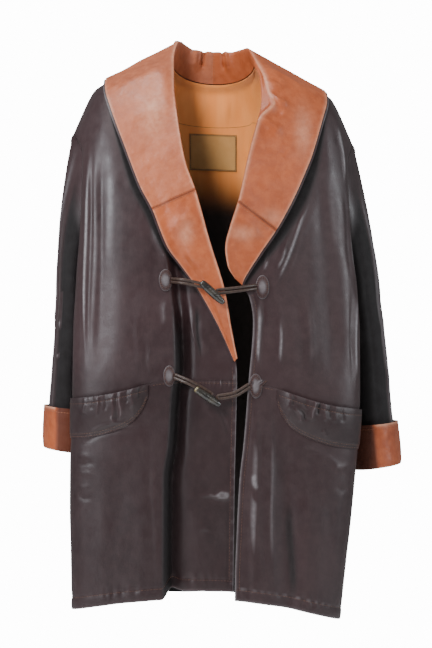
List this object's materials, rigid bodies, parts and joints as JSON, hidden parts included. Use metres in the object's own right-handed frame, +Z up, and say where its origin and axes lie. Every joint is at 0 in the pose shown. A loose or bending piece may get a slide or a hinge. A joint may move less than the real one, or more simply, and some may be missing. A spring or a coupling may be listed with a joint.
{
  "type": "leather jacket",
  "caption": "Thigh-length leather jacket with a wide shawl collar, turned-back cuffs, pouch pockets and horn toggle fastenings, hanging filled out and hollow.",
  "frame": {"origin": "in the neck opening, midway between the shoulder seams' inner ends and a little below them, where the shoulders of a wearer or a hanger hold it", "axes": "+Z up, +Y towards the back, so the front faces -Y, and +X towards the wearer's left"},
  "size_m": [0.6107, 0.3142, 0.9584],
  "materials": {
    "dark_leather": "smooth dark brown leather with a soft gloss",
    "tan_leather": "smooth tan leather, satin",
    "lining_cloth": "golden tan satin lining",
    "label_leather": "bare khaki label, matt",
    "cord_leather": "round dark leather cord",
    "horn": "polished dark horn with a pale tip"
  },
  "bodies": {
    "root": {"front_right_upper": "dark_leather", "front_right_lower": "dark_leather", "front_left_upper": "dark_leather", "front_left_lower": "dark_leather", "back_upper": "dark_leather", "back_lower": "dark_leather", "sleeve_right": "dark_leather", "sleeve_left": "dark_leather", "pocket_right": "dark_leather", "pocket_left": "dark_leather", "undercollar_right": "dark_leather", "undercollar_left": "dark_leather", "patch_upper_right": "dark_leather", "patch_upper_left": "dark_leather", "patch_lower_right": "dark_leather", "patch_lower_left": "dark_leather", "collar_right_upper": "tan_leather", "collar_right_lower": "tan_leather", "collar_left_upper": "tan_leather", "collar_left_lower": "tan_leather", "cuff_right": "tan_leather", "cuff_left": "tan_leather", "lining_yoke": "lining_cloth", "lining_back": "lining_cloth", "label": "label_leather", "cord_upper_right": "cord_leather", "cord_upper_left": "cord_leather", "cord_lower_right": "cord_leather", "cord_lower_left": "cord_leather", "toggle_upper": "horn", "toggle_lower": "horn"}
  },
  "joints": []
}
